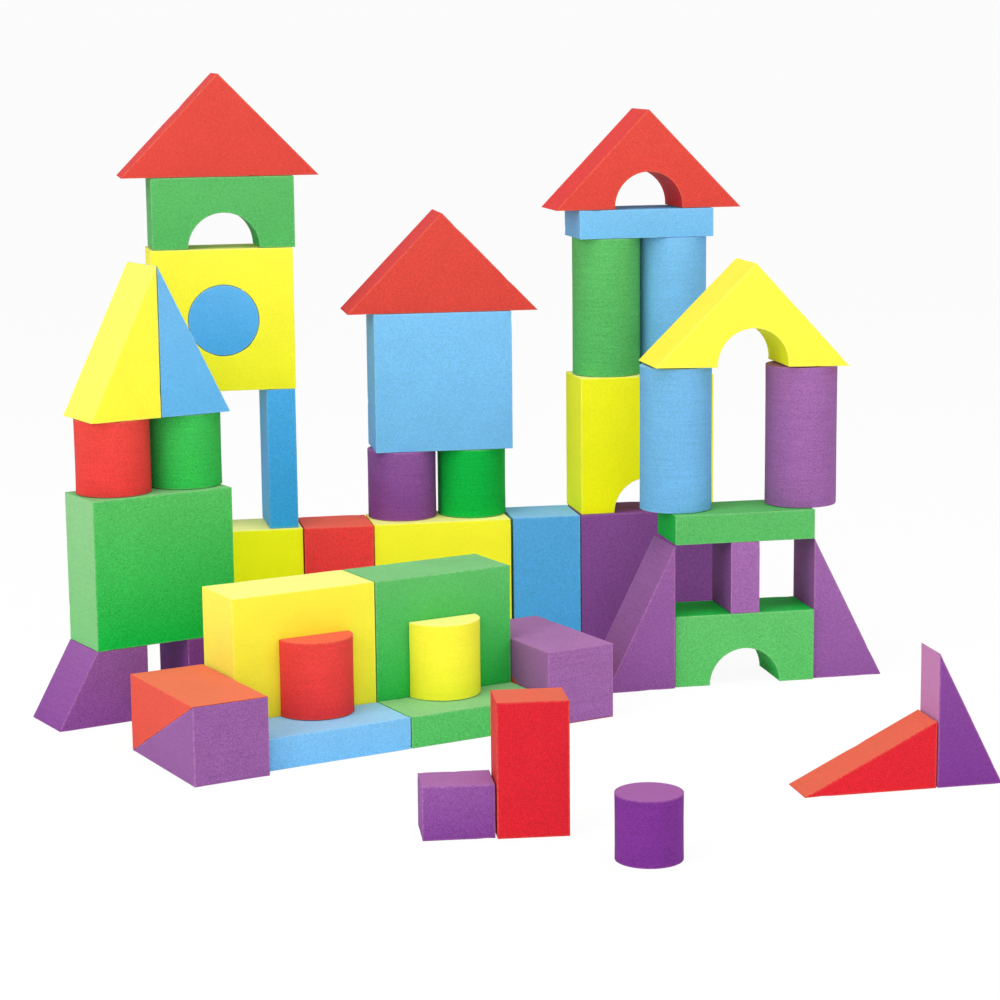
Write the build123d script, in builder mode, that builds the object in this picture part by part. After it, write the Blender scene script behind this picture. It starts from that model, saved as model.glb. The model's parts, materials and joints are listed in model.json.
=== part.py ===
from build123d import *
from math import atan, cos, degrees, radians, sin, tan
import os

# A set of giant foam building blocks, built up as a small castle.
# Every block is cut square from a thick sheet of foam, and lies, stands or leans on others.
# The origin is the middle of the bottom of the yellow square in the wall.
# +X runs along the wall, -Y is the front and +Z is up.

os.makedirs("parts", exist_ok=True)

# Driving dimensions of the blocks, in mm
UNIT = 76.0              # side of the smallest square, and height of one course
LONG = 152.0             # long side of bricks, slabs, arches and triangles
DEEP = 71.0              # thickness of the foam sheet that the blocks are cut from
THIN = 31.5              # thickness of slabs and posts
ROUND = 76.0             # diameter of rounds, and of the cutter for holes and notches
ROOF_BASE = 211.0        # long side of a roof
ROOF_HIGH = 108.5        # height of a roof
ROOF_NOTCH_RISE = 2.5    # the roof's notch starts with this much straight side
SLANT = 60.0             # angle of a trapezoid's slanted side to the floor, in degrees
WEDGE_WIDE = 76.0        # width of the long wedges at both ends of the bench

# The loose blocks in front are of a smaller size, cut from a thinner sheet
SMALL_UNIT = 63.0        # side of the small bricks, and height of the small ramp
SMALL_LONG = 126.0       # long side of the small ramp and triangle
SMALL_TALL = 120.0       # height of the small brick
SMALL_DEEP = 46.0        # thickness of the sheet that they are cut from
SMALL_ROUND = 58.0       # diameter and height of the small round
SMALL_LOW = 48.0         # height of the low block

# Clearances, in mm
SIDE_GAP = 1.0           # between blocks that stand side by side
COLUMN_GAP = 0.5         # between the two columns of the tall tower, which all but touch
LEFT_GAP = 4.0           # between the two rounds of the left tower
MIDDLE_GAP = 2.5         # between the two rounds of the middle tower
PLUG_GAP = 0.3           # all round the plug in the window

# Course heights that follow from the blocks
WALL_TOP = LONG
GATE_LINTEL_Z = 2 * UNIT
GATE_FLOOR = GATE_LINTEL_Z + THIN

# Where each group of blocks stands: the front left corner of its lowest block and its turn
LEFT_AT, LEFT_TURN = (-385.0, -251.0), 21.0
GATE_AT, GATE_TURN = (213.0, -227.0), 1.0

# The bench stands by the front right corner of its last wedge, because that end is close to the gate
BENCH_END_AT, BENCH_TURN = (122.6, -328.6), 19.0

# Groups that stand on the wall: how far in from the wall's ends and front they start
WINDOW_IN, WINDOW_BACK, WINDOW_TURN = -3.0, 3.0, 1.0
MIDDLE_IN, MIDDLE_BACK, MIDDLE_TURN = 6.0, 18.0, -1.0
TALL_IN, TALL_BACK, TALL_TURN = 1.0, 1.5, 1.5


class Group:
    """A group of blocks in line: u runs along its front, v to the back and z up."""

    def __init__(self, corner, turn):
        self.corner = corner
        self.along = (cos(radians(turn)), sin(radians(turn)), 0)

    def point(self, u, v, z):
        c, s, _ = self.along
        x, y = self.corner
        return (x + c * u - s * v, y + s * u + c * v, z)

    def front(self, u, v, z):
        """An upright plane that faces the front, for a block seen in profile."""
        c, s, _ = self.along
        return Plane(origin=self.point(u, v, z), x_dir=self.along, z_dir=(s, -c, 0))

    def leaning(self, u, v, z, lean):
        """An upright plane that faces the front, for a block that leans to the right, in degrees."""
        c, s, _ = self.along
        level, fall = cos(radians(lean)), sin(radians(lean))
        return Plane(origin=self.point(u, v, z), x_dir=(c * level, s * level, -fall), z_dir=(s, -c, 0))

    def floor(self, u, v, z):
        """A level plane, for a round block that stands on its end."""
        return Plane(origin=self.point(u, v, z), x_dir=self.along, z_dir=(0, 0, 1))

    def left_side(self, u, v, z):
        """An upright plane that faces right, whose x runs to the back."""
        c, s, _ = self.along
        return Plane(origin=self.point(u, v, z), x_dir=(-s, c, 0), z_dir=(c, s, 0))


def save(part, name):
    part.label = name
    export_step(part, f"parts/{name}.step")
    print(f"{name}: {part.volume / 1000:.0f} cubic cm")


def brick(name, plane, width, height, depth=DEEP):
    """A block with a plain rectangular front, cut back from the plane."""
    with BuildPart() as block:
        with BuildSketch(plane):
            Rectangle(width, height, align=(Align.MIN, Align.MIN))
        extrude(amount=-depth)
    save(block.part, name)


def profile(name, plane, points, depth=DEEP):
    """A block whose front is a triangle or a trapezoid, cut back from the plane."""
    with BuildPart() as block:
        with BuildSketch(plane):
            Polygon(*points, align=None)
        extrude(amount=-depth)
    save(block.part, name)


def notched(name, plane, width, height):
    """A block with a half round notch in the middle of its bottom."""
    with BuildPart() as block:
        with BuildSketch(plane):
            Rectangle(width, height, align=(Align.MIN, Align.MIN))
            with Locations((width / 2, 0)):
                Circle(ROUND / 2, mode=Mode.SUBTRACT)
        extrude(amount=-DEEP)
    save(block.part, name)


def window(name, plane):
    """A large square with a round hole through its middle."""
    with BuildPart() as block:
        with BuildSketch(plane):
            Rectangle(LONG, LONG, align=(Align.MIN, Align.MIN))
            with Locations((LONG / 2, LONG / 2)):
                Circle(ROUND / 2, mode=Mode.SUBTRACT)
        extrude(amount=-DEEP)
    save(block.part, name)


def roof(name, plane, has_notch=False):
    """A roof with two equal slopes, and a notch in its bottom if it is an arched one."""
    with BuildPart() as block:
        with BuildSketch(plane):
            Polygon((0, 0), (ROOF_BASE, 0), (ROOF_BASE / 2, ROOF_HIGH), align=None)
            if has_notch:
                with Locations((ROOF_BASE / 2, ROOF_NOTCH_RISE)):
                    Circle(ROUND / 2, mode=Mode.SUBTRACT)
                with Locations((ROOF_BASE / 2, 0)):
                    Rectangle(ROUND, 2 * ROOF_NOTCH_RISE, mode=Mode.SUBTRACT)
        extrude(amount=-DEEP)
    save(block.part, name)


def rounded(name, plane, height, diameter=ROUND):
    """A round block, built up from the plane along its normal."""
    with BuildPart() as block:
        with BuildSketch(plane):
            Circle(diameter / 2)
        extrude(amount=height)
    save(block.part, name)


def half_round(name, plane):
    """Half of a round block, with its flat side on the plane's x axis and its back."""
    with BuildPart() as block:
        with BuildSketch(plane):
            with BuildLine():
                flat = Line((-ROUND / 2, 0), (ROUND / 2, 0))
                ThreePointArc(flat @ 1, (0, -ROUND / 2), flat @ 0)
            make_face()
        extrude(amount=UNIT)
    save(block.part, name)


# Outlines of the slanted blocks, from their lower left corner
SLOPE = UNIT / tan(radians(SLANT))
FOOT_TOP = (LONG - SLOPE) / 2
FOOT_BASE = FOOT_TOP + SLOPE
LEFT_FOOT = [(0, 0), (FOOT_BASE, 0), (FOOT_BASE, UNIT), (SLOPE, UNIT)]
RIGHT_FOOT = [(0, 0), (FOOT_BASE, 0), (FOOT_TOP, UNIT), (0, UNIT)]
RISING_SPIRE = [(0, 0), (UNIT, 0), (UNIT, LONG)]
FALLING_SPIRE = [(0, 0), (UNIT, 0), (0, LONG)]
LOWER_WEDGE = [(0, 0), (LONG, 0), (0, UNIT)]
UPPER_WEDGE = [(LONG, 0), (LONG, UNIT), (0, UNIT)]

# The wall, five blocks in a row
wall = Group((-LONG / 2, -DEEP / 2), 0)
RED_U = -SIDE_GAP - UNIT
LEFT_U = RED_U - SIDE_GAP - LONG
BLUE_U = LONG + 3 * SIDE_GAP
PURPLE_U = BLUE_U + UNIT + SIDE_GAP
RED_BACK, BLUE_BACK, PURPLE_BACK = -3.0, 3.0, 5.0
brick("wall_middle_square", wall.front(0, 0, 0), LONG, LONG)
brick("wall_red_brick", wall.front(RED_U, RED_BACK, 0), UNIT, LONG)
brick("wall_left_square", wall.front(LEFT_U, 0, 0), LONG, LONG)
brick("wall_blue_brick", wall.front(BLUE_U, BLUE_BACK, 0), UNIT, LONG)
brick("wall_right_square", wall.front(PURPLE_U, PURPLE_BACK, 0), LONG, LONG)

# The left tower: two feet, a square, two rounds and two spires
left = Group(LEFT_AT, LEFT_TURN)
SQUARE_TOP = UNIT + LONG
RED_ROUND_U = ROUND / 2 + 3.5
GREEN_ROUND_U = RED_ROUND_U + ROUND + LEFT_GAP
RED_ROUND_V = ROUND / 2 + 5.0
GREEN_ROUND_V = ROUND / 2 + 8.0
SPIRE_Z = SQUARE_TOP + UNIT
SPIRE_U = RED_ROUND_U - UNIT / 2
SPIRE_BACK = 6.0
LEFT_FOOT_BACK = 1.0
profile("left_foot", left.front(-SLOPE, LEFT_FOOT_BACK, 0), LEFT_FOOT)
profile("right_foot", left.front(LONG - FOOT_TOP, 0, 0), RIGHT_FOOT)
brick("left_tower_square", left.front(0, 0, UNIT), LONG, LONG)
rounded("left_tower_red_round", left.floor(RED_ROUND_U, RED_ROUND_V, SQUARE_TOP), UNIT)
rounded("left_tower_green_round", left.floor(GREEN_ROUND_U, GREEN_ROUND_V, SQUARE_TOP), UNIT)
profile("yellow_spire", left.front(SPIRE_U, SPIRE_BACK, SPIRE_Z), RISING_SPIRE)
profile("blue_spire", left.front(SPIRE_U + UNIT + SIDE_GAP, SPIRE_BACK + SIDE_GAP, SPIRE_Z), FALLING_SPIRE)

# The window tower on the left end of the wall: two posts, window, plug, arch and roof
window_corner = wall.point(LEFT_U + WINDOW_IN, WINDOW_BACK, 0)[:2]
window_group = Group(window_corner, WINDOW_TURN)
WINDOW_Z = WALL_TOP + LONG
ARCH_Z = WINDOW_Z + LONG
WINDOW_ARCH_U, WINDOW_ARCH_V = 3.0, 3.0
WINDOW_ROOF_U, WINDOW_ROOF_V = (LONG - ROOF_BASE) / 2 + 1.0, 5.0
RIGHT_POST_U = LONG - THIN - SIDE_GAP
brick("window_left_post", window_group.front(SIDE_GAP, 0, WALL_TOP), THIN, LONG)
brick("window_right_post", window_group.front(RIGHT_POST_U, 0, WALL_TOP), THIN, LONG)
window("window_square", window_group.front(0, 0, WINDOW_Z))
PLUG_PLANE = window_group.front(LONG / 2, DEEP, WINDOW_Z + LONG / 2)
rounded("window_plug", PLUG_PLANE, DEEP, ROUND - 2 * PLUG_GAP)
notched("window_tower_arch", window_group.front(WINDOW_ARCH_U, WINDOW_ARCH_V, ARCH_Z), LONG, UNIT)
roof("window_tower_roof", window_group.front(WINDOW_ROOF_U, WINDOW_ROOF_V, ARCH_Z + UNIT))

# The middle tower: two rounds, a square and a roof
middle = Group(wall.point(MIDDLE_IN, MIDDLE_BACK, 0)[:2], MIDDLE_TURN)
MIDDLE_PURPLE_U, MIDDLE_PURPLE_V = ROUND / 2 - 5.5, DEEP / 2 - 1.0
MIDDLE_GREEN_U, MIDDLE_GREEN_V = MIDDLE_PURPLE_U + ROUND + MIDDLE_GAP, DEEP / 2 + 1.0
MIDDLE_Z = WALL_TOP + UNIT
MIDDLE_ROOF_U, MIDDLE_ROOF_V = (LONG - ROOF_BASE) / 2 + 0.5, 3.0
rounded("middle_purple_round", middle.floor(MIDDLE_PURPLE_U, MIDDLE_PURPLE_V, WALL_TOP), UNIT)
rounded("middle_green_round", middle.floor(MIDDLE_GREEN_U, MIDDLE_GREEN_V, WALL_TOP), UNIT)
brick("middle_square", middle.front(0, 0, MIDDLE_Z), LONG, LONG)
roof("middle_roof", middle.front(MIDDLE_ROOF_U, MIDDLE_ROOF_V, MIDDLE_Z + LONG))

# The tall tower on the right end of the wall: notched square, two columns, lintel, arched roof
tall = Group(wall.point(PURPLE_U + TALL_IN, PURPLE_BACK + TALL_BACK, 0)[:2], TALL_TURN)
TALL_COLUMN_Z = WALL_TOP + LONG
TALL_LINTEL_Z = TALL_COLUMN_Z + LONG
TALL_GREEN_U, TALL_GREEN_V = ROUND / 2 + 1.5, ROUND / 2 + 3.0
TALL_BLUE_U, TALL_BLUE_V = TALL_GREEN_U + ROUND + COLUMN_GAP, ROUND / 2 + 4.0
TALL_LINTEL_U, TALL_LINTEL_V = 1.0, 6.0
TALL_ROOF_U, TALL_ROOF_V = (LONG - ROOF_BASE) / 2 + 4.0, 9.0
notched("tall_notched_square", tall.front(0, 0, WALL_TOP), LONG, LONG)
rounded("tall_green_column", tall.floor(TALL_GREEN_U, TALL_GREEN_V, TALL_COLUMN_Z), LONG)
rounded("tall_blue_column", tall.floor(TALL_BLUE_U, TALL_BLUE_V, TALL_COLUMN_Z), LONG)
brick("tall_lintel", tall.front(TALL_LINTEL_U, TALL_LINTEL_V, TALL_LINTEL_Z), LONG, THIN)
roof("tall_arched_roof", tall.front(TALL_ROOF_U, TALL_ROOF_V, TALL_LINTEL_Z + THIN), has_notch=True)

# The gate tower: an arch between two triangles, a post, lintel, two columns and arched roof
gate = Group(GATE_AT, GATE_TURN)
GATE_BLUE_U, GATE_BLUE_V = 13.0, ROUND / 2 + 9.0
GATE_PURPLE_U, GATE_PURPLE_V = LONG - 2.0, ROUND / 2 + 7.0
GATE_ROOF_U, GATE_ROOF_V = (LONG - ROOF_BASE) / 2 + 9.5, 7.0
# The purple column is cut a little short, so the roof leans to the right on both columns' edges
GATE_DROP = 3.0
GATE_FALL = GATE_DROP / (GATE_PURPLE_U - GATE_BLUE_U)
GATE_LEAN = degrees(atan(GATE_FALL))
GATE_ROOF_Z = GATE_FLOOR + LONG + (GATE_BLUE_U + ROUND / 2 - GATE_ROOF_U) * GATE_FALL
LEFT_TRIANGLE_V, RIGHT_TRIANGLE_V = -4.0, 4.0
LEFT_TRIANGLE_TURN = GATE_TURN + 3.0
left_triangle = Group(gate.point(-SIDE_GAP, LEFT_TRIANGLE_V, 0)[:2], LEFT_TRIANGLE_TURN)
notched("gate_arch", gate.front(0, 0, 0), LONG, UNIT)
profile("gate_left_triangle", left_triangle.front(-UNIT, 0, 0), RISING_SPIRE)
profile("gate_right_triangle", gate.front(LONG + SIDE_GAP, RIGHT_TRIANGLE_V, 0), FALLING_SPIRE)
brick("gate_post", gate.front((LONG - THIN) / 2, 0, UNIT), THIN, UNIT)
brick("gate_lintel", gate.front(0, 0, GATE_LINTEL_Z), LONG, THIN)
rounded("gate_blue_column", gate.floor(GATE_BLUE_U, GATE_BLUE_V, GATE_FLOOR), LONG)
rounded("gate_purple_column", gate.floor(GATE_PURPLE_U, GATE_PURPLE_V, GATE_FLOOR), LONG - GATE_DROP)
gate_roof_plane = gate.leaning(GATE_ROOF_U, GATE_ROOF_V, GATE_ROOF_Z, GATE_LEAN)
roof("gate_arched_roof", gate_roof_plane, has_notch=True)

# The bench: wedges at both ends, two slabs with half rounds, and two squares behind them
SEAT_V = 13.0
LEFT_SEAT_U = WEDGE_WIDE + 3.0
RIGHT_SEAT_U = LEFT_SEAT_U + LONG + SIDE_GAP
RIGHT_WEDGE_U = RIGHT_SEAT_U + LONG + SIDE_GAP
BENCH_END_U = RIGHT_WEDGE_U + WEDGE_WIDE
bench = Group(Group(BENCH_END_AT, BENCH_TURN).point(-BENCH_END_U, -SEAT_V, 0)[:2], BENCH_TURN)
BACK_V = SEAT_V + DEEP + SIDE_GAP
RED_HALF_U = LEFT_SEAT_U + 85.0
YELLOW_HALF_U = RIGHT_SEAT_U + 73.0
HALF_V = BACK_V - SIDE_GAP / 2
profile("bench_left_lower_wedge", bench.left_side(0, 0, 0), LOWER_WEDGE, -WEDGE_WIDE)
profile("bench_left_upper_wedge", bench.left_side(0, 0, 0), UPPER_WEDGE, -WEDGE_WIDE)
brick("bench_blue_slab", bench.front(LEFT_SEAT_U, SEAT_V, 0), LONG, THIN)
brick("bench_green_slab", bench.front(RIGHT_SEAT_U, SEAT_V, 0), LONG, THIN)
brick("bench_yellow_square", bench.front(LEFT_SEAT_U, BACK_V, 0), LONG, LONG)
brick("bench_green_square", bench.front(RIGHT_SEAT_U, BACK_V, 0), LONG, LONG)
half_round("bench_red_half_round", bench.floor(RED_HALF_U, HALF_V, THIN))
half_round("bench_yellow_half_round", bench.floor(YELLOW_HALF_U, HALF_V, THIN))
REAR_WEDGE = [(0, 0), (LONG, 0), (LONG, UNIT)]
FRONT_WEDGE = [(0, 0), (LONG, UNIT), (0, UNIT)]
profile("bench_right_lower_wedge", bench.left_side(RIGHT_WEDGE_U, SEAT_V, 0), REAR_WEDGE, -WEDGE_WIDE)
profile("bench_right_upper_wedge", bench.left_side(RIGHT_WEDGE_U, SEAT_V, 0), FRONT_WEDGE, -WEDGE_WIDE)

# Loose blocks on the floor in front, of the smaller size
RAMP = [(0, 0), (SMALL_LONG, 0), (SMALL_LONG, SMALL_UNIT)]
SMALL_SPIRE = [(0, 0), (SMALL_UNIT, 0), (0, SMALL_LONG)]
LOW_BLOCK_V = 3.0
brick_spot = Group((-67.5, -704.8), -4.3)
round_spot = Group((45.9, -784.4), 0)
ramp_spot = Group((223.7, -644.6), 1.7)
low_block_plane = brick_spot.front(-SIDE_GAP - SMALL_UNIT, LOW_BLOCK_V, 0)
brick("loose_red_brick", brick_spot.front(0, 0, 0), SMALL_UNIT, SMALL_TALL, SMALL_DEEP)
brick("loose_purple_block", low_block_plane, SMALL_UNIT, SMALL_LOW, SMALL_DEEP)
rounded("loose_purple_round", round_spot.floor(0, 0, 0), SMALL_ROUND, SMALL_ROUND)
profile("loose_red_ramp", ramp_spot.front(0, 0, 0), RAMP, SMALL_DEEP)
profile("loose_purple_triangle", ramp_spot.front(SMALL_LONG + SIDE_GAP, 0, 0), SMALL_SPIRE, SMALL_DEEP)
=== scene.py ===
"""A castle of giant foam building blocks. Each block is built anew from its CAD outline."""

import json
import random
from collections import namedtuple
from math import atan2, cos, exp, pi, radians, sin, tan

import bmesh
import bpy
from mathutils import Matrix, Vector, noise
from mathutils.geometry import delaunay_2d_cdt

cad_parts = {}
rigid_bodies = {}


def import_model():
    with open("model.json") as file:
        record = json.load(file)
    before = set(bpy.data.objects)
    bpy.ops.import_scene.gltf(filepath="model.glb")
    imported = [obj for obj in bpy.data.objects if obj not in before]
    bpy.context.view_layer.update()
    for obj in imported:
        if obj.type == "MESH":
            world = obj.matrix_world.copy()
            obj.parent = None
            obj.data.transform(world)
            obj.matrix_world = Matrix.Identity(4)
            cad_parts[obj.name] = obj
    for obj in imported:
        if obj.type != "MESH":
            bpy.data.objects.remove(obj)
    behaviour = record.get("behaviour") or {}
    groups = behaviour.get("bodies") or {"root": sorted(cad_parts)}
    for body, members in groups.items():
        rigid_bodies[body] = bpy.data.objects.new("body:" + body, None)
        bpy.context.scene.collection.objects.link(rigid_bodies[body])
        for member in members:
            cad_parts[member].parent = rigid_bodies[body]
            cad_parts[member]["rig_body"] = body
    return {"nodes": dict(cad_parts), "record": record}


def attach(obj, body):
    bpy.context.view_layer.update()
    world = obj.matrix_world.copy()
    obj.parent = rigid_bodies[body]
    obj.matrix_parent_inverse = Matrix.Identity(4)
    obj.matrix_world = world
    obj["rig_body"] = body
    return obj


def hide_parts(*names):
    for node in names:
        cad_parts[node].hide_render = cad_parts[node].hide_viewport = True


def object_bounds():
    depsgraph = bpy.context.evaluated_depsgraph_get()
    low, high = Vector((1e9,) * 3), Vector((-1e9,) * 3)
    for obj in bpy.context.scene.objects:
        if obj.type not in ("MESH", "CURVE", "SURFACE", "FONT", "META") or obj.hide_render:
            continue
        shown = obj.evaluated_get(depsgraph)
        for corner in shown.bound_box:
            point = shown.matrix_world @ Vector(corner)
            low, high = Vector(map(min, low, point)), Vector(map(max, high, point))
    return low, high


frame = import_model()
cad_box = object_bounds()
SLOT_OF = {part["node"]: part["material_slot"] for part in frame["record"]["subparts"]}

# Which way a block was cut through the sheet, as the local axis that its outline was cut along
SIDEWAYS, FRONT, UPRIGHT = 0, 1, 2

# Each group of blocks in line: its turn in degrees, and its blocks by the way they were cut
GROUPS = [
    (0, {FRONT: ["wall_middle_square", "wall_red_brick", "wall_left_square", "wall_blue_brick",
                 "wall_right_square"]}),
    (21, {FRONT: ["left_foot", "right_foot", "left_tower_square", "yellow_spire", "blue_spire"],
          UPRIGHT: ["left_tower_red_round", "left_tower_green_round"]}),
    (1, {FRONT: ["window_left_post", "window_right_post", "window_square", "window_plug",
                 "window_tower_arch", "window_tower_roof"]}),
    (-1, {FRONT: ["middle_square", "middle_roof"],
          UPRIGHT: ["middle_purple_round", "middle_green_round"]}),
    (1.5, {FRONT: ["tall_notched_square", "tall_lintel", "tall_arched_roof"],
           UPRIGHT: ["tall_green_column", "tall_blue_column"]}),
    (1, {FRONT: ["gate_arch", "gate_right_triangle", "gate_post", "gate_lintel", "gate_arched_roof"],
         UPRIGHT: ["gate_blue_column", "gate_purple_column"]}),
    (4, {FRONT: ["gate_left_triangle"]}),
    (19, {FRONT: ["bench_blue_slab", "bench_green_slab", "bench_yellow_square", "bench_green_square"],
          UPRIGHT: ["bench_red_half_round", "bench_yellow_half_round"],
          SIDEWAYS: ["bench_left_lower_wedge", "bench_left_upper_wedge", "bench_right_lower_wedge",
                     "bench_right_upper_wedge"]}),
    (-4.3, {FRONT: ["loose_red_brick", "loose_purple_block"]}),
    (0, {UPRIGHT: ["loose_purple_round"]}),
    (1.7, {FRONT: ["loose_red_ramp", "loose_purple_triangle"]}),
]

# How the foam was cut and worn, in metres
MESH_STEP = 0.005        # between points on a face
EDGE_ROUND = 0.0006      # of the edge between a sheet's face and a cut side
CORNER_ROUND = 0.0009    # of the edge between two cut sides
TIP_LOSS = 0.0008        # how far a sharp tip may fall back by its rounding
BESIDE_EDGE = 0.0014     # from a rounded edge to the next points
FREE = 0.02              # room to draw a point in, where no corner is near
WAVE_DEEP = 0.0002       # the cut's slow waves
WAVE_WIDE = 0.055
RIPPLE_DEEP = 0.00009    # smaller unevenness
RIPPLE_WIDE = 0.012
BOW_DEEP = 0.0002        # a cut side is drawn in between the sheet's two faces
PILLOW_DEEP = 0.00012    # a sheet's face falls off to its cut edge
PILLOW_WIDE = 0.005
NICK_DEEP = 0.0005
NICK_WIDE = 0.005
FLATNESS = 1e-5          # how far off its level a point of a flat face may be
SAME = 1e-6              # points nearer than this are one
NET_SAME = 1e-7          # the same for the points of a face's net

# How each nick's size differs from those, and how many a block has
NICK_DEEP_SHARES = (0.4, 1.1)
NICK_WIDE_SHARES = (0.6, 1.3)
NICKS_EACH = 3

# Each block reads its noise from its own place, up to this far out, and the ripples' noise still farther
NOISE_REACH = 9
RIPPLE_SHIFT = 3

# How finely edges and corners are rounded, and the turns that count as a corner and as none
EDGE_STEPS = 4
CORNER_STEPS = 4
SHARP = radians(25)
STRAIGHT = radians(0.3)

# Distances between points, in mesh steps
SHORTEST_RUN = 1.5       # a shorter stretch of an outline gets no points of its own
CURVE_RUN = 2            # a shorter stretch between two points of a curve is part of the curve
NET_MARGIN = 0.6         # between the points near a face's edge and those of its net
NET_SHIFT = 0.1          # how far a net's points are off their rows

# Shares of the room at a point that its rounding, its innermost ring and its wear may take
ROUND_SHARE = 0.6
RING_SHARE = 0.8
TIP_SINK = 0.3

# From 0 to 1: how far on an edge a point is that gets a nick, how square to the cut's axis a surface is to
# fall off to its edge, and up to how square it is a side, where the foam may be thin
ON_RIM = 0.5
FACE_FROM = 0.5
SIDE_UP_TO = 0.9

# A spot on an outline: its place, its way out, the room to draw it in, how far it is on a corner, and
# whether it is on a hollow curve. A stop is a corner or a single spot, with the room beside it.
Spot = namedtuple("Spot", "place way room corner hollow")
Stop = namedtuple("Stop", "spots room slope beside")


def flat(co, axis):
    """A 3-D point without its coordinate along an axis."""
    return Vector([co[k] for k in range(3) if k != axis])


def solid(place, axis, level):
    """The 3-D point of a 2-D place, at a level along an axis."""
    co = [place.x, place.y]
    co.insert(axis, level)
    return co


def border_loops(bm, axis, level):
    """The closed outlines of a flat face of a prism, as lists of 2-D points, foam on their left."""
    face = {f for f in bm.faces if all(abs(v.co[axis] - level) < FLATNESS for v in f.verts)}
    border = [e for e in bm.edges if len(face.intersection(e.link_faces)) == 1]
    loops = []
    while border:
        edge = border.pop()
        start, at = edge.verts
        ring = [start]
        while at is not start:
            ring.append(at)
            edge = next(e for e in at.link_edges if e in border)
            border.remove(edge)
            at = edge.other_vert(at)
        loops.append([flat(v.co, axis) for v in ring])
    loops.sort(key=lambda loop: -abs(area_of(loop)))
    return [loop if (area_of(loop) > 0) == (k == 0) else loop[::-1] for k, loop in enumerate(loops)]


def area_of(loop):
    """An outline's area, below zero where it runs clockwise."""
    return sum(loop[k - 1].cross(p) for k, p in enumerate(loop)) / 2


def turn_at(loop, k):
    """How far an outline turns to the left at a point, in radians."""
    before, after = loop[k] - loop[k - 1], loop[(k + 1) % len(loop)] - loop[k]
    return atan2(before.cross(after), before.dot(after))


def without_straight_points(loop):
    """The outline without the points that lie on a straight stretch."""
    return [p for k, p in enumerate(loop) if abs(turn_at(loop, k)) > STRAIGHT]


def way_out(step):
    """The way out of the foam beside a step along an outline."""
    return Vector((step.y, -step.x)).normalized()


def turned(way, angle):
    """A 2-D direction turned to the left."""
    return Vector((way.x * cos(angle) - way.y * sin(angle), way.x * sin(angle) + way.y * cos(angle)))


def places_between(length, first, last):
    """Where the points of a straight stretch go, with one close beside each rounded corner."""
    if length < SHORTEST_RUN * MESH_STEP:
        return []
    count = max(1, round((length - first - last) / MESH_STEP))
    steps = range(0 if first else 1, count + 1 if last else count)
    return [first + (length - first - last) * j / count for j in steps]


def sharp_corners(loop, corner_round):
    """An outline's corners: the turn of each, half the angle inside it, and the radius it gets."""
    corners = {}
    for k in range(len(loop)):
        turn = turn_at(loop, k)
        if abs(turn) > SHARP:
            half = (pi - turn) / 2
            corners[k] = (turn, half, min(corner_round, TIP_LOSS / (1 / sin(half) - 1)))
    return corners


def rounded_corner(at, before, after, corner):
    """The stop that a corner becomes: an arc of spots."""
    turn, half, radius = corner
    middle = at - (way_out(before) + way_out(after)).normalized() * radius / sin(half)
    ways = [turned(way_out(before), turn * j / CORNER_STEPS) for j in range(CORNER_STEPS + 1)]
    shares = [sin(pi * j / CORNER_STEPS) for j in range(CORNER_STEPS + 1)]
    arc = [Spot(middle + way * radius, way, radius, share, 0.0) for way, share in zip(ways, shares)]
    return Stop(arc, radius, tan(half), BESIDE_EDGE)


def rounded_outline(loop, corner_round):
    """The outline's spots, with its corners rounded and its long stretches divided."""
    corners = sharp_corners(loop, corner_round)
    stops = []
    for k, at in enumerate(loop):
        before, after = at - loop[k - 1], loop[(k + 1) % len(loop)] - at
        if k in corners:
            stops.append(rounded_corner(at, before, after, corners[k]))
        elif all((at - loop[c]).length > corners[c][2] / tan(corners[c][1]) + SAME for c in corners):
            turn = turn_at(loop, k)
            way = turned(way_out(before), turn / 2)
            stops.append(Stop([Spot(at, way, FREE, 0.0, 1.0 if turn < 0 else 0.0)], FREE, 0.0, 0.0))
    spots = []
    for k, stop in enumerate(stops):
        spots += stop.spots
        following = stops[(k + 1) % len(stops)]
        start, end = stop.spots[-1], following.spots[0]
        run = end.place - start.place
        for s in places_between(run.length, stop.beside, following.beside):
            place = start.place + run * (s / run.length)
            room = min(stop.room + s * stop.slope, following.room + (run.length - s) * following.slope, FREE)
            hollow = max(start.hollow, end.hollow) if run.length < CURVE_RUN * MESH_STEP else 0.0
            spots.append(Spot(place, way_out(run), room, 0.0, hollow))
    return spots


def inside(point, loops):
    """Whether a point is inside the outer outline and outside the holes."""
    odd = False
    for loop in loops:
        for k, a in enumerate(loop):
            b = loop[k - 1]
            if (a.y > point.y) != (b.y > point.y):
                if point.x < (b.x - a.x) * (point.y - a.y) / (b.y - a.y) + a.x:
                    odd = not odd
    return odd


def distance_to(point, loops):
    """How far a point is from the nearest outline."""
    best = 1.0
    for loop in loops:
        for k, a in enumerate(loop):
            b = loop[k - 1]
            run = b - a
            t = min(1.0, max(0.0, (point - a).dot(run) / run.length_squared))
            best = min(best, (a + run * t - point).length)
    return best


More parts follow.
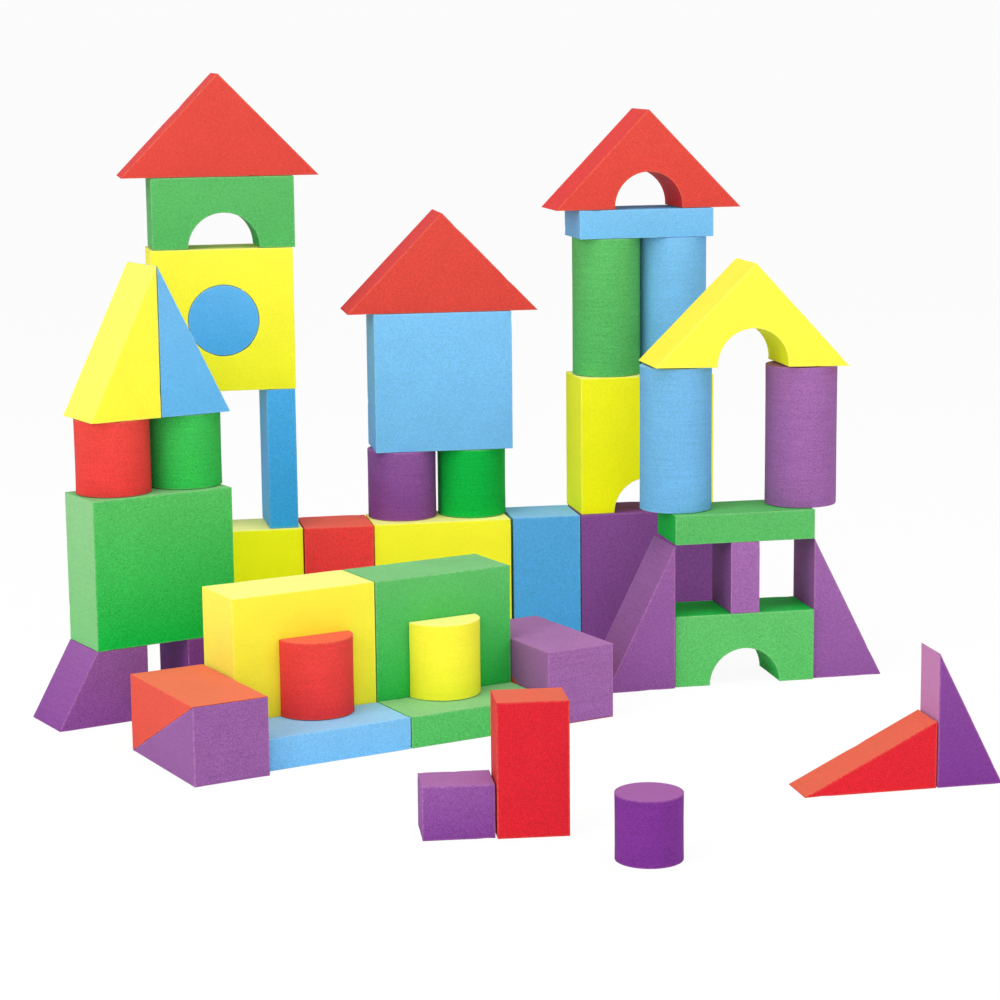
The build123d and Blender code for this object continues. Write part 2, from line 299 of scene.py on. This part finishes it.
def face_net(rings, loops, rng):
    """Fills the innermost rings of a sheet's face: the points between them, and the triangles."""
    points, edges = [], []
    for ring in rings:
        start = len(points)
        points += ring
        edges += [(start + k, start + (k + 1) % len(ring)) for k in range(len(ring))]
    border = len(points)
    low = Vector((min(p.x for p in points), min(p.y for p in points)))
    high = Vector((max(p.x for p in points), max(p.y for p in points)))
    columns = round((high.x - low.x) / MESH_STEP)
    rows = round((high.y - low.y) / MESH_STEP)
    for i in range(1, columns):
        for j in range(1, rows):
            shift = Vector((rng.uniform(-1, 1), rng.uniform(-1, 1))) * MESH_STEP * NET_SHIFT
            p = Vector((low.x + (high.x - low.x) * i / columns, low.y + (high.y - low.y) * j / rows)) + shift
            if inside(p, loops) and distance_to(p, loops) > BESIDE_EDGE + NET_MARGIN * MESH_STEP:
                points.append(p)
    made, _, faces, origin, _, _ = delaunay_2d_cdt(points, edges, [], 0, NET_SAME)
    index = [o[0] for o in origin]
    triangles = []
    for face in faces:
        middle = sum((made[v] for v in face), Vector((0, 0))) / 3
        if inside(middle, rings):
            triangles.append([index[v] for v in face])
    return points[border:], triangles


def on_face(spot):
    """How a spot lies on the sheet's face: how far it is drawn in and down, and how far it is on an edge."""
    return min(EDGE_ROUND + BESIDE_EDGE, RING_SHARE * spot.room), 0.0, 0.0


def on_edge(angle):
    """The same for a spot on the rounded edge, at an angle from the face."""
    def lie(spot):
        radius = min(EDGE_ROUND, ROUND_SHARE * spot.room)
        return radius * (1 - sin(angle)), radius * (1 - cos(angle)), 1.0
    return lie


def on_side(level):
    """The same for a spot on the cut side, at a level below the face."""
    return lambda spot: (0.0, level, spot.corner)


def prism(bm, loops, axis, depth, corner_round, rng):
    """Builds the block with its edges rounded: two sheet faces and the cut sides between them."""
    cut = bm.verts.layers.float.new("cut")
    worn = bm.verts.layers.float.new("worn")
    thin = bm.verts.layers.float.new("thin")
    hollow = bm.verts.layers.float.new("hollow")
    outlines = [rounded_outline(loop, corner_round) for loop in loops]

    def layer(lie, side_share):
        """A ring of points for each outline, all lying alike."""
        rings = []
        for outline in outlines:
            ring = []
            for spot in outline:
                draw, down, rim = lie(spot)
                v = bm.verts.new(solid(spot.place - spot.way * draw, axis, down))
                v[cut], v[worn] = side_share, rim
                v[thin], v[hollow] = FREE - spot.room, spot.hollow * side_share
                ring.append(v)
            rings.append(ring)
        return rings

    def edge_layers():
        """The rings from a sheet's face, round its edge, to the cut side."""
        shares = [j / EDGE_STEPS for j in range(EDGE_STEPS + 1)]
        return [layer(on_face, 0.0)] + [layer(on_edge(share * pi / 2), share) for share in shares]

    low, high = edge_layers(), edge_layers()
    for rings in high:
        for ring in rings:
            for v in ring:
                v.co[axis] = depth - v.co[axis]
    first = EDGE_ROUND + BESIDE_EDGE
    count = max(1, round((depth - 2 * first) / MESH_STEP))
    sides = [layer(on_side(first + (depth - 2 * first) * j / count), 1.0) for j in range(count + 1)]
    layers = low + sides + high[::-1]
    for lower, upper in zip(layers, layers[1:]):
        for a, b in zip(lower, upper):
            for k in range(len(a)):
                bm.faces.new((a[k - 1], a[k], b[k], b[k - 1]))
    middle, triangles = face_net([[flat(v.co, axis) for v in ring] for ring in low[0]], loops, rng)
    for rings, level in ((low[0], 0.0), (high[0], depth)):
        net = [v for ring in rings for v in ring]
        net += [bm.verts.new(solid(p, axis, level)) for p in middle]
        for t in triangles:
            bm.faces.new([net[v] for v in t])
    bmesh.ops.recalc_face_normals(bm, faces=bm.faces)


def wear(bm, loops, axis, depth, rng, dents):
    """Presses the surface in a little: waves, bow, fallen edges, nicks and dents."""
    bm.normal_update()
    worn = bm.verts.layers.float["worn"]
    thin = bm.verts.layers.float["thin"]
    shift = Vector([rng.uniform(-NOISE_REACH, NOISE_REACH) for _ in range(3)])
    rim = [v for v in bm.verts if v[worn] > ON_RIM]
    nicks = []
    for _ in range(NICKS_EACH):
        centre = rng.choice(rim).co.copy()
        wide = NICK_WIDE * rng.uniform(*NICK_WIDE_SHARES)
        nicks.append((centre, wide, NICK_DEEP * rng.uniform(*NICK_DEEP_SHARES)))
    moves = []
    for v in bm.verts:
        facing = abs(v.normal[axis])
        wave = 0.5 + 0.5 * noise.noise(v.co / WAVE_WIDE + shift)
        ripple = 0.5 + 0.5 * noise.noise(v.co / RIPPLE_WIDE + shift * RIPPLE_SHIFT)
        sink = WAVE_DEEP * wave + RIPPLE_DEEP * ripple
        t = v.co[axis] / depth
        sink += BOW_DEEP * (1 - facing) * (1 - (2 * t - 1) ** 2)
        if facing > FACE_FROM:
            sink += PILLOW_DEEP * facing * exp(-distance_to(flat(v.co, axis), loops) / PILLOW_WIDE)
        for centre, wide, deep in nicks + dents:
            sink += deep * exp(-((v.co - centre).length / wide) ** 2)
        if facing < SIDE_UP_TO:
            sink = min(sink, (FREE - v[thin]) * TIP_SINK)
        moves.append(v.normal * -sink)
    for v, move in zip(bm.verts, moves):
        v.co += move
    bm.verts.layers.float.remove(thin)


# Dents that the photograph shows, in the block's own frame, from its low front left corner: where each one
# is, how wide and how deep
DENTS = {
    "left_tower_square": [(Vector((0, 0.036, 0.124)), 0.012, 0.0016)],
}

# Painted shade: the blocks' colours differ a little in depth, deeper where a block stands in shade, and
# deepen downwards as though lit from above; from 0 to 1, how deep at the top and at the bottom
PLAIN_PAINTED_SHADE = (0.0, 0.12)
PAINTED_SHADE_DEPTHS = {
    "wall_red_brick": (0.5, 0.8),
    "wall_left_square": (0.9, 1.0),
    "wall_middle_square": (0.6, 0.8),
    "wall_blue_brick": (0.5, 0.7),
    "wall_right_square": (0.5, 0.65),
    "left_foot": (0.4, 0.7),
    "right_foot": (0.8, 1.0),
    "left_tower_square": (0.2, 1.0),
    "left_tower_red_round": (0.2, 0.5),
    "left_tower_green_round": (0.6, 0.75),
    "yellow_spire": (0.1, 0.3),
    "blue_spire": (0.1, 0.4),
    "window_plug": (0.4, 0.7),
    "window_left_post": (0.7, 0.9),
    "window_right_post": (0.7, 0.9),
    "window_square": (0.2, 0.7),
    "middle_purple_round": (0.4, 0.7),
    "middle_green_round": (1.0, 1.0),
    "tall_notched_square": (0.8, 1.0),
    "gate_left_triangle": (0.2, 0.4),
    "gate_right_triangle": (0.1, 0.4),
    "bench_green_square": (0.0, 1.0),
    "bench_green_slab": (0.15, 0.25),
    "bench_left_lower_wedge": (0.2, 0.2),
    "bench_yellow_square": (0.2, 0.5),
    "bench_red_half_round": (0.3, 0.6),
    "bench_yellow_half_round": (0.3, 0.5),
    "loose_red_brick": (1.0, 1.0),
    "loose_red_ramp": (1.0, 1.0),
    "loose_purple_block": (0.5, 0.8),
    "loose_purple_round": (1.0, 1.0),
    "loose_purple_triangle": (0.7, 0.9),
}

# How light some blocks are beside the others: partly their own tone, partly painted light that lifts blocks
# standing in shade and dims some in stronger light
TONES_AND_PAINTED_LIGHT = {
    "wall_red_brick": 1.32,
    "wall_left_square": 1.12,
    "wall_middle_square": 1.10,
    "tall_notched_square": 1.04,
    "window_tower_roof": 0.90,
    "middle_roof": 0.93,
    "tall_arched_roof": 0.97,
    "left_tower_green_round": 0.94,
    "middle_green_round": 0.93,
    "window_tower_arch": 0.86,
    "tall_green_column": 0.94,
    "gate_lintel": 0.93,
    "gate_blue_column": 0.88,
    "gate_purple_column": 0.91,
    "gate_left_triangle": 0.93,
    "gate_right_triangle": 0.96,
    "gate_post": 0.97,
    "bench_right_upper_wedge": 0.93,
    "gate_arched_roof": 0.97,
    "blue_spire": 0.93,
    "yellow_spire": 0.96,
    "window_plug": 0.93,
    "window_square": 0.96,
    "middle_square": 1.04,
    "bench_blue_slab": 1.01,
    "bench_yellow_square": 0.97,
    "bench_left_lower_wedge": 0.88,
    "bench_red_half_round": 1.05,
    "loose_red_brick": 0.88,
    "loose_red_ramp": 0.92,
}

# How light the other blocks are, at random
PLAIN_TONES = (0.98, 1.02)

# Painted light: faces that look up are paler, as though lit from above, and so are the left sides of some
# blocks, as though lit from the left
TOP_PAINTED_LIGHT = {
    "red_foam": 0.13,
    "green_foam": 0.15,
    "yellow_foam": 0.30,
    "blue_foam": 0.18,
    "purple_foam": 0.09,
}
MORE_TOP_PAINTED_LIGHT = {"bench_left_upper_wedge": 0.13, "bench_blue_slab": 0.06, "bench_green_slab": 0.06}
SIDE_PAINTED_LIGHT = {
    "left_tower_square": 0.27,
    "window_left_post": 0.16,
    "window_right_post": 0.16,
    "yellow_spire": 0.12,
    "bench_left_upper_wedge": 0.04,
    "bench_yellow_square": 0.10,
    "loose_purple_triangle": 0.40,
    "loose_red_brick": 0.05,
}

# How square to a direction a face is before it counts as facing it, and when it fully does
FACING = (0.75, 0.90)

# The slope of a roof's face, as the upward share of its normal, and how soon other slopes stop counting
ROOF_SLOPE = cos(pi / 4)
SLOPE_FALL = 8

# Painted shade on faces that stand in shade: how much deeper their colour is, on the top, the left side and a
# 45-degree slope
PAINTED_SHADE_FACES = {
    "window_tower_roof": (0.0, 0.0, 0.5),
    "middle_roof": (0.0, 0.0, 0.6),
    "tall_arched_roof": (0.0, 0.0, 0.5),
    "gate_arch": (1.0, 0.0, 0.0),
    "gate_lintel": (0.5, 1.0, 0.0),
    "gate_post": (0.0, 0.4, 0.0),
    "tall_lintel": (0.5, 0.0, 0.0),
    "wall_right_square": (0.5, 0.0, 0.0),
}
# painted shade in notches and holes: how much deeper the colour is there
HOLLOW_PAINTED_SHADE = 0.8      # in notches and holes

# Blocks whose corners are rounder than the rest
ROUNDER = {"bench_red_half_round": 0.0025, "bench_yellow_half_round": 0.0025}


def counts_as_facing(share):
    """From 0 to 1: whether a surface faces a direction, by the share of its normal that points there."""
    start, full = FACING
    return min(1.0, max(0.0, (share - start) / (full - start)))


def node_outlines(name, turn, axis):
    """The outlines that a CAD node was cut along, with its low corner and its size in its group's frame."""
    source = bmesh.new()
    source.from_mesh(frame["nodes"][name].data)
    bmesh.ops.remove_doubles(source, verts=source.verts, dist=SAME)
    source.transform(Matrix.Rotation(-radians(turn), 4, "Z"))
    low = Vector([min(v.co[k] for v in source.verts) for k in range(3)])
    high = Vector([max(v.co[k] for v in source.verts) for k in range(3)])
    source.transform(Matrix.Translation(-low))
    loops = [without_straight_points(loop) for loop in border_loops(source, axis, 0.0)]
    source.free()
    return loops, low, high - low


def paint_light_and_shade(bm, name, slot, height, rng):
    """Writes on each point its painted shade, as how deep its colour is, its painted light, as how pale it
    is, and how light its colour is, partly painted light.
    """
    batch = bm.verts.layers.float.new("batch")
    # deep carries painted shade: how far the colour is deepened
    deep = bm.verts.layers.float.new("deep")
    painted_light = bm.verts.layers.float.new("painted_light")
    tone_and_painted_light = bm.verts.layers.float.new("tone_and_painted_light")
    hollow = bm.verts.layers.float["hollow"]
    value = rng.random()
    lightness = TONES_AND_PAINTED_LIGHT.get(name, rng.uniform(*PLAIN_TONES))
    top_painted_shade, low_painted_shade = PAINTED_SHADE_DEPTHS.get(name, PLAIN_PAINTED_SHADE)
    top_painted_light = TOP_PAINTED_LIGHT[slot] + MORE_TOP_PAINTED_LIGHT.get(name, 0.0)
    side_painted_light = SIDE_PAINTED_LIGHT.get(name, 0.0)
    top_shade, side_shade, slope_shade = PAINTED_SHADE_FACES.get(name, (0.0, 0.0, 0.0))
    bm.normal_update()
    for v in bm.verts:
        v[batch] = value
        v[tone_and_painted_light] = lightness
        up, left = counts_as_facing(v.normal.z), counts_as_facing(-v.normal.x)
        slope = max(0.0, 1 - abs(v.normal.z - ROOF_SLOPE) * SLOPE_FALL)
        # painted shade: deeper towards the bottom of the block, and deeper for blocks that stand in shade
        block_shade = low_painted_shade + (top_painted_shade - low_painted_shade) * v.co.z / height
        # painted shade on sheltered faces, roof slopes and in hollows
        shade = max(up * top_shade, left * side_shade, slope * slope_shade, v[hollow] * HOLLOW_PAINTED_SHADE)
        v[deep] = min(1.0, block_shade + shade)
        # painted light: tops and left sides are paler
        v[painted_light] = max(up * top_painted_light * (1 + block_shade) * (1 - top_shade), left * side_painted_light)
    bm.verts.layers.float.remove(hollow)


def new_object(name, data):
    """A new object, linked to the scene."""
    made = bpy.data.objects.new(name, data)
    bpy.context.scene.collection.objects.link(made)
    return made


def smooth_object(name, bm):
    """The object of a finished mesh, shaded smooth."""
    for f in bm.faces:
        f.smooth = True
    mesh = bpy.data.meshes.new(name)
    bm.to_mesh(mesh)
    bm.free()
    return new_object(name, mesh)


def foam_block(name, turn, axis):
    """Makes the cut foam block that stands for a CAD node."""
    rng = random.Random(name)
    slot = SLOT_OF[name]
    loops, low, size = node_outlines(name, turn, axis)
    bm = bmesh.new()
    prism(bm, loops, axis, size[axis], ROUNDER.get(name, CORNER_ROUND), rng)
    wear(bm, loops, axis, size[axis], rng, DENTS.get(name, []))
    paint_light_and_shade(bm, name, slot, size.z, rng)
    block = smooth_object(name + "_foam", bm)
    block.matrix_world = Matrix.Rotation(radians(turn), 4, "Z") @ Matrix.Translation(low)
    block.data.materials.append(FOAM[slot])
    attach(block, frame["nodes"][name]["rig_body"])
    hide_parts(name)


# Each foam, linear: its palest colour, as where it is best lit; its deepest, for painted shade; its pale
# colour for worn edges and painted light; and how strongly its grain shows
FOAMS = {
    "red_foam": ((0.69, 0.068, 0.050), (0.71, 0.018, 0.033), (0.845, 0.42, 0.19), 2.0),
    "green_foam": ((0.108, 0.48, 0.128), (0.001, 0.48, 0.056), (0.66, 0.67, 0.54), 2.9),
    "yellow_foam": ((0.93, 0.825, 0.066), (0.91, 0.92, 0.002), (0.965, 0.913, 0.56), 0.7),
    "blue_foam": ((0.180, 0.48, 0.79), (0.025, 0.38, 0.84), (0.56, 0.77, 0.96), 2.0),
    "purple_foam": ((0.338, 0.138, 0.380), (0.166, 0.027, 0.240), (0.95, 0.44, 0.67), 2.8),
}


# The foam's markings: how many there are in a metre, their detail and their roughness
GRAIN = (1300, 2.0, 0.6)
COARSE_GRAIN = (330, 1.5, 0.55)
MOTTLE = (24, 2.5, 0.55)
STREAKS = (480, 3.0, 0.55)
STREAK_STRETCH = (0.05, 0.05, 1.0)
CELLS = 800

# Where each marking's noise lies for the most part
NOISE_SPAN = (0.3, 0.7)
CELL_SPAN = (0.05, 0.45)

# How far the markings lighten and darken the colour. A foam's own grain scales all but the mottling
GRAIN_LIGHT = 0.11
COARSE_LIGHT = 0.018
MOTTLE_LIGHT = 0.025
STREAK_LIGHT = 0.022
CELL_DARK = 0.08

# How pale a worn edge is at least and at most
EDGE_PALE = (0.04, 0.16)

# A block's batch, from 0 to 1, moves its markings along this way, so that no two blocks are marked alike
BATCH_SHIFT = (7.3, 3.1, 5.7)

# The surface: matt, with a faint haze, and pores that catch the light
ROUGHNESS = (0.50, 0.70)
SPECULAR = 0.04
SHEEN = 0.03
SHEEN_ROUGHNESS = 0.80
BUMP_STRENGTH = 0.6
BUMP_DEEP = 0.0002
GRAIN_HIGH = 0.7
COARSE_HIGH = 0.6
CELL_LOW = 0.5
STREAK_HIGH = 0.25

WHITE = (1, 1, 1, 1)


class Nodes:
    """A short hand for building a node tree."""

    def __init__(self, owner):
        owner.use_nodes = True
        self.tree = owner.node_tree
        self.tree.nodes.clear()

    def add(self, kind, **values):
        node = self.tree.nodes.new(kind)
        for key, value in values.items():
            setattr(node, key, value)
        return node

    def link(self, source, target):
        self.tree.links.new(source, target)

    def math(self, operation, a, b):
        node = self.add("ShaderNodeMath", operation=operation)
        for socket, value in zip(node.inputs, (a, b)):
            if isinstance(value, (int, float)):
                socket.default_value = value
            else:
                self.link(value, socket)
        return node.outputs[0]

    def noise(self, place, scale, detail, roughness):
        node = self.add("ShaderNodeTexNoise")
        self.link(place, node.inputs["Vector"])
        node.inputs["Scale"].default_value = scale
        node.inputs["Detail"].default_value = detail
        node.inputs["Roughness"].default_value = roughness
        return node.outputs["Fac"]

    def spread(self, value, low, high, span=NOISE_SPAN):
        """Maps a value's span to the range from low to high."""
        node = self.add("ShaderNodeMapRange")
        self.link(value, node.inputs["Value"])
        for key, number in zip(("From Min", "From Max", "To Min", "To Max"), (*span, low, high)):
            node.inputs[key].default_value = number
        return node.outputs["Result"]

    def vary(self, light, value, share):
        """Lightens and darkens by a share, as a noise says."""
        return self.math("MULTIPLY", light, self.spread(value, 1 - share, 1 + share))

    def attribute(self, name):
        return self.add("ShaderNodeAttribute", attribute_name=name).outputs["Fac"]

    def mix_colours(self, share, first, second):
        """A mix of two colours, each a socket or four numbers."""
        node = self.add("ShaderNodeMix", data_type="RGBA", blend_type="MIX")
        self.link(share, node.inputs["Factor"])
        for key, colour in (("A", first), ("B", second)):
            if isinstance(colour, tuple):
                node.inputs[key].default_value = colour
            else:
                self.link(colour, node.inputs[key])
        return node.outputs["Result"]

    def emit(self, kind, strength):
        """A white light of a kind that a surface or the world gives."""
        node = self.add(kind)
        node.inputs["Color"].default_value = WHITE
        node.inputs["Strength"].default_value = strength
        return node.outputs[0]

    def seen(self):
        """1 where the camera sees a thing, also in gloss or through glass, and else 0."""
        rays = self.add("ShaderNodeLightPath")
        seen = self.math("ADD", rays.outputs["Is Camera Ray"], rays.outputs["Is Glossy Ray"])
        return self.math("MINIMUM", self.math("ADD", seen, rays.outputs["Is Transmission Ray"]), 1.0)

    def show_mix(self, kind, share, first, second):
        """Ends the tree, in an output of a kind, with a mix of two shaders."""
        mix = self.add("ShaderNodeMixShader")
        self.link(share, mix.inputs["Fac"])
        self.link(first, mix.inputs[1])
        self.link(second, mix.inputs[2])
        self.link(mix.outputs[0], self.add(kind).inputs["Surface"])


def foam_material(slot, colour, painted_shade_colour, worn_and_painted_light_colour, grain_share):
    """Closed-cell foam: fine grain and cells, slow mottling, cut streaks and paler worn edges, with painted
    shade that deepens the colour and painted light that pales it.
    """
    material = bpy.data.materials.new(slot)
    n = Nodes(material)
    shader = n.add("ShaderNodeBsdfPrincipled")
    n.link(shader.outputs["BSDF"], n.add("ShaderNodeOutputMaterial").inputs["Surface"])

    shifted = n.add("ShaderNodeVectorMath", operation="MULTIPLY_ADD")
    n.link(n.attribute("batch"), shifted.inputs[0])
    shifted.inputs[1].default_value = BATCH_SHIFT
    n.link(n.add("ShaderNodeTexCoord").outputs["Object"], shifted.inputs[2])
    place = shifted.outputs[0]

    grain = n.noise(place, *GRAIN)
    coarse = n.noise(place, *COARSE_GRAIN)
    mottle = n.noise(place, *MOTTLE)
    cells = n.add("ShaderNodeTexVoronoi", feature="F1")
    n.link(place, cells.inputs["Vector"])
    cells.inputs["Scale"].default_value = CELLS
    cell = n.spread(cells.outputs["Distance"], 1.0, 0.0, CELL_SPAN)

    # The blade leaves faint lines along the cut sides
    stretched = n.add("ShaderNodeMapping")
    n.link(place, stretched.inputs["Vector"])
    stretched.inputs["Scale"].default_value = STREAK_STRETCH
    streaks = n.spread(n.noise(stretched.outputs["Vector"], *STREAKS), -1, 1)
    streaks = n.math("MULTIPLY", streaks, n.attribute("cut"))

    # How light each point is, next to the plain colour: the block's tone, partly painted light, and its
    # markings
    light = n.vary(n.attribute("tone_and_painted_light"), grain, GRAIN_LIGHT * grain_share)
    light = n.vary(light, coarse, COARSE_LIGHT * grain_share)
    light = n.vary(light, mottle, MOTTLE_LIGHT)
    light = n.math("ADD", light, n.math("MULTIPLY", streaks, STREAK_LIGHT * grain_share))
    light = n.math("SUBTRACT", light, n.math("MULTIPLY", cell, CELL_DARK * grain_share))

    # painted shade: the colour deepens as the deep attribute says
    shaded_colour = n.add("ShaderNodeVectorMath", operation="SCALE")
    n.link(n.mix_colours(n.attribute("deep"), (*colour, 1), (*painted_shade_colour, 1)), shaded_colour.inputs[0])
    n.link(light, shaded_colour.inputs["Scale"])
    # worn edges, and painted light on tops and left sides, pale the colour
    rubbed = n.math("MULTIPLY", n.attribute("worn"), n.spread(coarse, *EDGE_PALE))
    wear_and_painted_light = n.math("MAXIMUM", rubbed, n.attribute("painted_light"))
    n.link(n.mix_colours(wear_and_painted_light, shaded_colour.outputs[0], (*worn_and_painted_light_colour, 1)), shader.inputs["Base Color"])

    n.link(n.spread(grain, *ROUGHNESS), shader.inputs["Roughness"])
    shader.inputs["Specular IOR Level"].default_value = SPECULAR
    shader.inputs["Sheen Weight"].default_value = SHEEN
    shader.inputs["Sheen Roughness"].default_value = SHEEN_ROUGHNESS
    shader.inputs["Sheen Tint"].default_value = (*worn_and_painted_light_colour, 1)

    height = n.math("ADD", n.math("MULTIPLY", grain, GRAIN_HIGH), n.math("MULTIPLY", coarse, COARSE_HIGH))
    height = n.math("SUBTRACT", height, n.math("MULTIPLY", cell, CELL_LOW))
    height = n.math("ADD", height, n.math("MULTIPLY", streaks, STREAK_HIGH))
    bump = n.add("ShaderNodeBump")
    bump.inputs["Strength"].default_value = BUMP_STRENGTH
    bump.inputs["Distance"].default_value = BUMP_DEEP
    n.link(height, bump.inputs["Height"])
    n.link(bump.outputs["Normal"], shader.inputs["Normal"])
    return material


FOAM = {slot: foam_material(slot, *foam) for slot, foam in FOAMS.items()}

for group_turn, cuts in GROUPS:
    for cut_axis, names in cuts.items():
        for node_name in names:
            foam_block(node_name, group_turn, cut_axis)

# The camera stands where the photograph was taken from, in metres and degrees
CAMERA_AT = (-0.4601, -2.8153, 0.6735)
CAMERA_TURN = -10.674
CAMERA_DOWN = 10.019
CAMERA_ROLL = -0.575
CAMERA_LENS = 94.09      # in millimetres, as is the sensor
CAMERA_SENSOR = 36
CAMERA_REACH = 100

# A wide pale floor that turns up behind the castle, in metres
FLOOR_HALF = 9.0
FLOOR_FRONT = 13.5
BACK_AT = 6.0
CURVE_RADIUS = 2.5
CURVE_STEPS = 24
WALL_HIGH = 9.0
PAPER = (0.94, 0.94, 0.94, 1)
SEEN_WHITE = 0.93        # how much of what the camera sees of it is plain white; the rest keeps the shadow

# The soft lamps: where each one hangs, its size in metres and its watts
CASTLE_MIDDLE = (cad_box[0] + cad_box[1]) / 2
LAMPS = {
    "key": ((-1.7, -1.5, 1.3), 1.3, 19),
    "fill": ((2.0, -2.0, 1.2), 1.6, 12),
    "top": ((-0.3, -0.9, 3.0), 1.8, 40),
    "front": ((-0.9, -8.0, 1.6), 4.0, 115),
}
WORLD_LIGHT = 0.54


def photo_camera():
    """The camera at the photograph's place, with its lens."""
    camera = new_object("camera", bpy.data.cameras.new("camera"))
    camera.matrix_world = (
        Matrix.Translation(CAMERA_AT)
        @ Matrix.Rotation(radians(CAMERA_TURN), 4, "Z")
        @ Matrix.Rotation(radians(90 - CAMERA_DOWN), 4, "X")
        @ Matrix.Rotation(radians(CAMERA_ROLL), 4, "Z")
    )
    camera.data.sensor_width = CAMERA_SENSOR
    camera.data.lens = CAMERA_LENS
    camera.data.clip_end = CAMERA_REACH
    bpy.context.scene.camera = camera


def backdrop():
    """The floor, its round bend and the wall behind, as one sheet."""
    line = [(-FLOOR_FRONT, 0.0), (BACK_AT, 0.0)]
    for k in range(1, CURVE_STEPS + 1):
        a = pi / 2 * k / CURVE_STEPS
        line.append((BACK_AT + CURVE_RADIUS * sin(a), CURVE_RADIUS * (1 - cos(a))))
    line.append((BACK_AT + CURVE_RADIUS, WALL_HIGH))
    bm = bmesh.new()
    left = [bm.verts.new((-FLOOR_HALF, y, z)) for y, z in line]
    right = [bm.verts.new((FLOOR_HALF, y, z)) for y, z in line]
    for k in range(len(line) - 1):
        bm.faces.new((left[k], right[k], right[k + 1], left[k + 1]))
    sheet = smooth_object("backdrop", bm)
    material = bpy.data.materials.new("backdrop")
    n = Nodes(material)
    paper = n.add("ShaderNodeBsdfDiffuse")
    paper.inputs["Color"].default_value = PAPER
    share = n.math("MULTIPLY", n.seen(), SEEN_WHITE)
    n.show_mix("ShaderNodeOutputMaterial", share, paper.outputs[0], n.emit("ShaderNodeEmission", 1.0))
    sheet.data.materials.append(material)


def lamp(name, place, size, watts):
    """A soft square lamp that faces the castle."""
    data = bpy.data.lights.new(name, "AREA")
    data.size = size
    data.energy = watts
    hung = new_object(name, data)
    hung.location = place
    hung.rotation_euler = (CASTLE_MIDDLE - Vector(place)).to_track_quat("-Z", "Y").to_euler()


def studio():
    """The world: an even light all round, and white where the camera sees it."""
    world = bpy.data.worlds.new("studio")
    bpy.context.scene.world = world
    n = Nodes(world)
    light = n.emit("ShaderNodeBackground", WORLD_LIGHT)
    n.show_mix("ShaderNodeOutputWorld", n.seen(), light, n.emit("ShaderNodeBackground", 1.0))


photo_camera()
backdrop()
for lamp_name, lamp_values in LAMPS.items():
    lamp(lamp_name, *lamp_values)
studio()

bpy.context.scene.view_settings.view_transform = "Standard"
